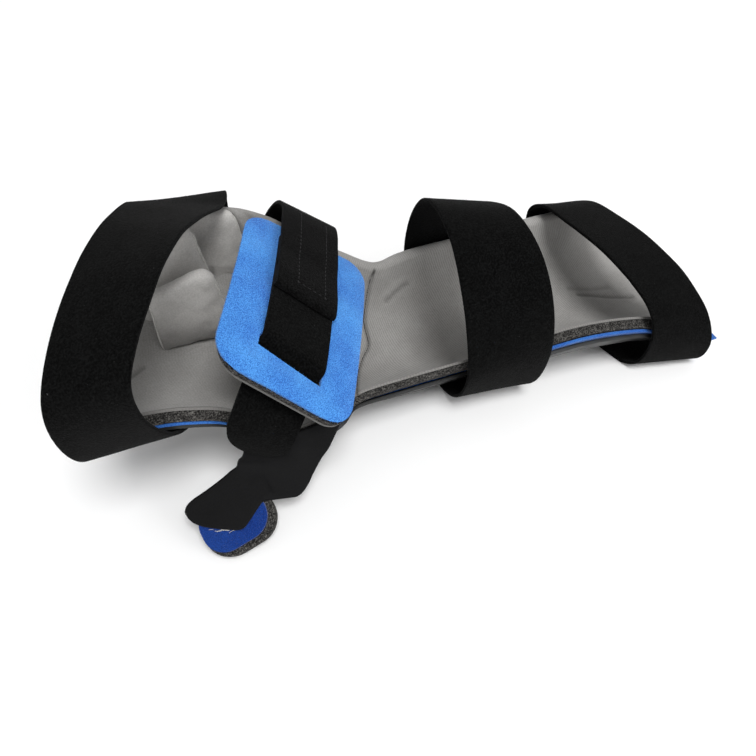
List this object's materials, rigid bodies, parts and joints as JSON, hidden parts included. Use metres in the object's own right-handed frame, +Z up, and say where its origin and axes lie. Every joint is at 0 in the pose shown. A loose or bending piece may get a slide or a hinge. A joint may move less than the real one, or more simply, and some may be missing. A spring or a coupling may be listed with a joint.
{
  "type": "resting hand splint",
  "caption": "Resting splint for a right hand: moulded trough with a padded liner, finger tabs, soft strap loops, a strapped palm pad and a padded thumb rest that hold hand and wrist still",
  "frame": {"origin": "middle of the footprint, on the surface that the splint lies on", "axes": "+X to the elbow end, the fingers to -X; -Y to the thumb side; +Z up from the surface"},
  "size_m": [0.3804, 0.1696, 0.145],
  "materials": {
    "shell": "smooth moulded",
    "lining": "brushed knit",
    "foam": "speckled cut foam",
    "blue_loop": "napped loop cloth",
    "strap": "napped loop webbing"
  },
  "bodies": {
    "root": {"shell": "shell", "lining": "lining", "finger_separator_near": "lining", "finger_separator_middle": "lining", "finger_separator_far": "lining", "palm_pad_back": "lining", "liner_foam": "foam", "palm_pad_foam": "foam", "thumb_pad_foam": "foam", "liner_backing": "blue_loop", "palm_pad_face": "blue_loop", "thumb_pad_face": "blue_loop", "wrist_strap": "strap", "forearm_strap": "strap", "finger_strap": "strap", "palm_strap": "strap", "palm_strap_overlap": "strap"}
  },
  "joints": []
}
